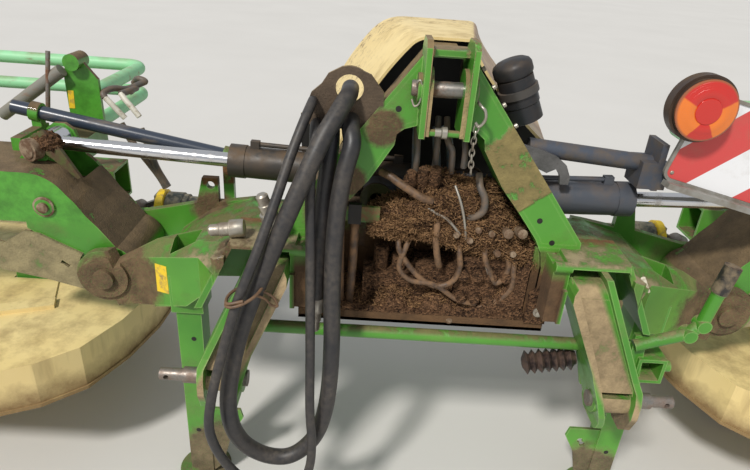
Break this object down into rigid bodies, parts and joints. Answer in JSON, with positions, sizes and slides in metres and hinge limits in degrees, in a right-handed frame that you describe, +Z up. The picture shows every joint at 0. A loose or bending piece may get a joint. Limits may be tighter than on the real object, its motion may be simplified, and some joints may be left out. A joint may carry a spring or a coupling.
{
  "type": "rear-mounted twin-wing disc mower",
  "caption": "Rear-mounted butterfly disc mower for a three-point linkage, with folding wings, rows of spinning discs, lift rams, hoods, guards and parking stands.",
  "frame": {"origin": "on the ground under the middle of the machine's box, hanging hoses left out", "axes": "+X across the machine to the right seen from the tractor's side, +Y to the rear, +Z up"},
  "size_m": [8.656, 1.2647, 1.244],
  "materials": {
    "green_paint": "gloss",
    "bare_steel": "worn",
    "cream_cover": "dusty",
    "pale_paint": "faded",
    "black_plastic": "matt",
    "white_board": "reflective",
    "red_lens": "gloss",
    "curtain_cloth": "matt",
    "dark_paint": "worn",
    "chrome_rod": "polished",
    "black_hose": "matt"
  },
  "bodies": {
    "headstock": {"tower": "green_paint", "beam_left": "green_paint", "beam_right": "green_paint", "top_link_pin": "bare_steel", "hitch_bracket_left": "green_paint", "hitch_bracket_right": "green_paint", "lower_pin_left": "bare_steel", "lower_pin_right": "bare_steel", "gearbox": "green_paint", "valve_block": "bare_steel", "centre_hood": "cream_cover", "canister": "black_plastic", "marker_board": "white_board", "lamp": "red_lens", "inner_shafts": "bare_steel", "hose_loop_thick": "black_hose", "hose_loop_second": "black_hose", "hose_loop_thin": "black_hose", "sleeve_left": "dark_paint"},
    "wing_left": {"boom_left": "green_paint", "carrier_left": "green_paint", "cutter_bar_left": "bare_steel", "hood_left": "cream_cover", "unit_gearbox_left": "green_paint", "outer_shaft_left": "bare_steel", "guard_frame_left": "pale_paint", "curtain_left": "curtain_cloth"},
    "ram_left": {"barrel_left": "dark_paint"},
    "ram_rod_left": {"rod_left": "chrome_rod"},
    "side_guard_left": {"outer_guard_left": "cream_cover"},
    "foot_left": {"stand_left": "green_paint"},
    "disc_left_1_body": {"disc_left_1": "bare_steel"},
    "disc_left_2_body": {"disc_left_2": "bare_steel"},
    "disc_left_3_body": {"disc_left_3": "bare_steel"},
    "disc_left_4_body": {"disc_left_4": "bare_steel"},
    "disc_left_5_body": {"disc_left_5": "bare_steel"},
    "disc_left_6_body": {"disc_left_6": "bare_steel"},
    "disc_left_7_body": {"disc_left_7": "bare_steel"},
    "wing_right": {"boom_right": "green_paint", "carrier_right": "green_paint", "cutter_bar_right": "bare_steel", "hood_right": "cream_cover", "unit_gearbox_right": "green_paint", "outer_shaft_right": "bare_steel", "guard_frame_right": "pale_paint", "curtain_right": "curtain_cloth"},
    "ram_right": {"barrel_right": "dark_paint"},
    "ram_rod_right": {"rod_right": "chrome_rod"},
    "side_guard_right": {"outer_guard_right": "cream_cover"},
    "foot_right": {"stand_right": "green_paint"},
    "disc_right_1_body": {"disc_right_1": "bare_steel"},
    "disc_right_2_body": {"disc_right_2": "bare_steel"},
    "disc_right_3_body": {"disc_right_3": "bare_steel"},
    "disc_right_4_body": {"disc_right_4": "bare_steel"},
    "disc_right_5_body": {"disc_right_5": "bare_steel"},
    "disc_right_6_body": {"disc_right_6": "bare_steel"},
    "disc_right_7_body": {"disc_right_7": "bare_steel"}
  },
  "joints": [
    {"name": "wing_fold_left", "type": "hinge", "parent": "headstock", "child": "wing_left", "pos_m": [-0.76, -0.2155, 0.615], "axis": [0, 1, 0], "range_deg": [0, 78.9], "deforming": ["sleeve_left"]},
    {"name": "ram_swing_left", "type": "hinge", "parent": "headstock", "child": "ram_left", "pos_m": [0.12, -0.1685, 0.842], "axis": [0, 1, 0], "range_deg": [-4, 0]},
    {"name": "ram_stroke_left", "type": "slide", "parent": "ram_left", "child": "ram_rod_left", "axis": [-0.9992, 0, 0.0411], "range_m": [-0.4, 0]},
    {"name": "side_guard_fold_left", "type": "hinge", "parent": "wing_left", "child": "side_guard_left", "pos_m": [-4.316, -0.0355, 0.426], "axis": [0, 1, 0], "range_deg": [0, 120]},
    {"name": "stand_slide_left", "type": "slide", "parent": "headstock", "child": "foot_left", "axis": [0, 0, 1], "range_m": [0, 0.3]},
    {"name": "disc_spin_left_1", "type": "hinge", "parent": "wing_left", "child": "disc_left_1_body", "pos_m": [-1.42, 0.0245, 0.1], "axis": [0, 0, 1], "continuous": true},
    {"name": "disc_spin_left_2", "type": "hinge", "parent": "wing_left", "child": "disc_left_2_body", "pos_m": [-1.85, 0.0245, 0.1], "axis": [0, 0, 1], "continuous": true},
    {"name": "disc_spin_left_3", "type": "hinge", "parent": "wing_left", "child": "disc_left_3_body", "pos_m": [-2.28, 0.0245, 0.1], "axis": [0, 0, 1], "continuous": true},
    {"name": "disc_spin_left_4", "type": "hinge", "parent": "wing_left", "child": "disc_left_4_body", "pos_m": [-2.71, 0.0245, 0.1], "axis": [0, 0, 1], "continuous": true},
    {"name": "disc_spin_left_5", "type": "hinge", "parent": "wing_left", "child": "disc_left_5_body", "pos_m": [-3.14, 0.0245, 0.1], "axis": [0, 0, 1], "continuous": true},
    {"name": "disc_spin_left_6", "type": "hinge", "parent": "wing_left", "child": "disc_left_6_body", "pos_m": [-3.57, 0.0245, 0.1], "axis": [0, 0, 1], "continuous": true},
    {"name": "disc_spin_left_7", "type": "hinge", "parent": "wing_left", "child": "disc_left_7_body", "pos_m": [-4, 0.0245, 0.1], "axis": [0, 0, 1], "continuous": true},
    {"name": "wing_fold_right", "type": "hinge", "parent": "headstock", "child": "wing_right", "pos_m": [0.76, -0.2155, 0.615], "axis": [0, -1, 0], "range_deg": [0, 78.9]},
    {"name": "ram_swing_right", "type": "hinge", "parent": "headstock", "child": "ram_right", "pos_m": [-0.12, -0.2585, 0.842], "axis": [0, -1, 0], "range_deg": [-4, 0]},
    {"name": "ram_stroke_right", "type": "slide", "parent": "ram_right", "child": "ram_rod_right", "axis": [0.9992, 0, 0.0411], "range_m": [-0.4, 0]},
    {"name": "side_guard_fold_right", "type": "hinge", "parent": "wing_right", "child": "side_guard_right", "pos_m": [4.316, -0.0355, 0.426], "axis": [0, -1, 0], "range_deg": [0, 120]},
    {"name": "stand_slide_right", "type": "slide", "parent": "headstock", "child": "foot_right", "axis": [0, 0, 1], "range_m": [0, 0.3]},
    {"name": "disc_spin_right_1", "type": "hinge", "parent": "wing_right", "child": "disc_right_1_body", "pos_m": [1.42, 0.0245, 0.1], "axis": [0, 0, 1], "continuous": true},
    {"name": "disc_spin_right_2", "type": "hinge", "parent": "wing_right", "child": "disc_right_2_body", "pos_m": [1.85, 0.0245, 0.1], "axis": [0, 0, 1], "continuous": true},
    {"name": "disc_spin_right_3", "type": "hinge", "parent": "wing_right", "child": "disc_right_3_body", "pos_m": [2.28, 0.0245, 0.1], "axis": [0, 0, 1], "continuous": true},
    {"name": "disc_spin_right_4", "type": "hinge", "parent": "wing_right", "child": "disc_right_4_body", "pos_m": [2.71, 0.0245, 0.1], "axis": [0, 0, 1], "continuous": true},
    {"name": "disc_spin_right_5", "type": "hinge", "parent": "wing_right", "child": "disc_right_5_body", "pos_m": [3.14, 0.0245, 0.1], "axis": [0, 0, 1], "continuous": true},
    {"name": "disc_spin_right_6", "type": "hinge", "parent": "wing_right", "child": "disc_right_6_body", "pos_m": [3.57, 0.0245, 0.1], "axis": [0, 0, 1], "continuous": true},
    {"name": "disc_spin_right_7", "type": "hinge", "parent": "wing_right", "child": "disc_right_7_body", "pos_m": [4, 0.0245, 0.1], "axis": [0, 0, 1], "continuous": true}
  ],
  "couplings": [
    {"joint": "ram_swing_left", "follows": "wing_fold_left", "ratio": -0.0446},
    {"joint": "ram_stroke_left", "follows": "wing_fold_left", "m_per_rad": -0.2897},
    {"joint": "disc_spin_left_2", "follows": "disc_spin_left_1", "ratio": -1},
    {"joint": "disc_spin_left_3", "follows": "disc_spin_left_1", "ratio": 1},
    {"joint": "disc_spin_left_4", "follows": "disc_spin_left_1", "ratio": -1},
    {"joint": "disc_spin_left_5", "follows": "disc_spin_left_1", "ratio": 1},
    {"joint": "disc_spin_left_6", "follows": "disc_spin_left_1", "ratio": -1},
    {"joint": "disc_spin_left_7", "follows": "disc_spin_left_1", "ratio": 1},
    {"joint": "ram_swing_right", "follows": "wing_fold_right", "ratio": -0.0446},
    {"joint": "ram_stroke_right", "follows": "wing_fold_right", "m_per_rad": -0.2897},
    {"joint": "disc_spin_right_2", "follows": "disc_spin_right_1", "ratio": -1},
    {"joint": "disc_spin_right_3", "follows": "disc_spin_right_1", "ratio": 1},
    {"joint": "disc_spin_right_4", "follows": "disc_spin_right_1", "ratio": -1},
    {"joint": "disc_spin_right_5", "follows": "disc_spin_right_1", "ratio": 1},
    {"joint": "disc_spin_right_6", "follows": "disc_spin_right_1", "ratio": -1},
    {"joint": "disc_spin_right_7", "follows": "disc_spin_right_1", "ratio": 1}
  ]
}
